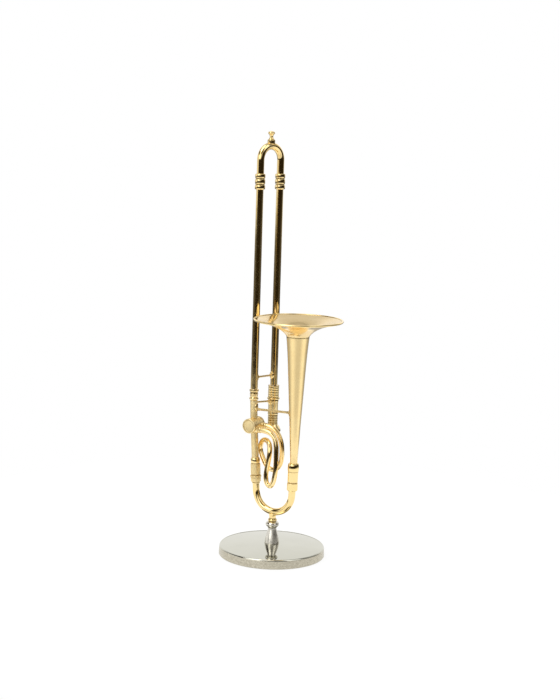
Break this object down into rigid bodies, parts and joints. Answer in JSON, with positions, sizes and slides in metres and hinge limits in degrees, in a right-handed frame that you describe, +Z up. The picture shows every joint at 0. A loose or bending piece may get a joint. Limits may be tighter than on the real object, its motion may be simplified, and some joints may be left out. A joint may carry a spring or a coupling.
{
  "type": "miniature trombone on stand",
  "caption": "Gold-plated miniature trombone with an F wrap, standing bell-up on a round nickel stand; the hand slide, the valve lever and the mouthpiece move.",
  "frame": {"origin": "centre of the flat underside of the stand, on the surface that it rests on", "axes": "+Z up along the stand's stem; +X from the slide towards the bell, in the plane of the bell and the tuning bow; +Y away from the side that the valve's front cap faces"},
  "size_m": [0.0568, 0.0504, 0.2],
  "materials": {
    "gold_plate": "polished gold plate, clear lacquer",
    "satin_gold": "satin gold plate with fine turned lines",
    "inner_slide": "polished nickel",
    "nickel_base": "polished nickel plate, fine turning marks",
    "rotor": "plain turned brass",
    "screw": "zinc plated",
    "felt": "dark green felt"
  },
  "bodies": {
    "stand_and_horn": {"base_disc": "nickel_base", "base_pad": "felt", "stem_screw": "screw", "stand_stem": "nickel_base", "mount_knob": "gold_plate", "tuning_bow": "gold_plate", "valve_side_ferrule": "gold_plate", "bell_side_ferrule": "gold_plate", "bell_stem": "satin_gold", "bell_flare": "gold_plate", "neck_tube_lower": "gold_plate", "neck_tube_upper": "gold_plate", "valve_casing": "gold_plate", "valve_front_cap": "gold_plate", "valve_back_plate": "gold_plate", "wrap_tube_front": "gold_plate", "wrap_tube_rear": "gold_plate", "cork_barrel_left": "gold_plate", "cork_barrel_right": "gold_plate", "inner_slide_tube_left": "inner_slide", "inner_slide_tube_right": "inner_slide", "mouthpiece_receiver": "gold_plate", "inner_brace_foot_right": "gold_plate", "inner_slide_brace": "gold_plate", "bell_brace_foot_left": "gold_plate", "bell_brace_foot_right": "gold_plate", "bell_brace": "gold_plate"},
    "hand_slide": {"outer_slide_tube_left": "gold_plate", "outer_slide_tube_right": "gold_plate", "bow_ferrule_left": "gold_plate", "bow_ferrule_right": "gold_plate", "slide_bow": "gold_plate", "bumper_knob": "gold_plate", "outer_brace_foot_left": "gold_plate", "outer_brace_foot_right": "gold_plate", "outer_slide_brace": "gold_plate"},
    "valve": {"valve_rotor": "rotor", "thumb_lever": "gold_plate"},
    "mouthpiece_body": {"mouthpiece": "gold_plate"}
  },
  "joints": [
    {"name": "hand_slide_travel", "type": "slide", "parent": "stand_and_horn", "child": "hand_slide", "axis": [0, 0, 1], "range_m": [0, 0.085]},
    {"name": "valve_turn", "type": "hinge", "parent": "stand_and_horn", "child": "valve", "pos_m": [-0.0116, 0, 0.0618], "axis": [0, 1, 0], "range_deg": [0, 90], "stiffness_Nm_per_rad": 0.0005, "springref_deg": -20.05},
    {"name": "mouthpiece_pull", "type": "slide", "parent": "stand_and_horn", "child": "mouthpiece_body", "axis": [0, 0, -1], "range_m": [0, 0.012]}
  ]
}
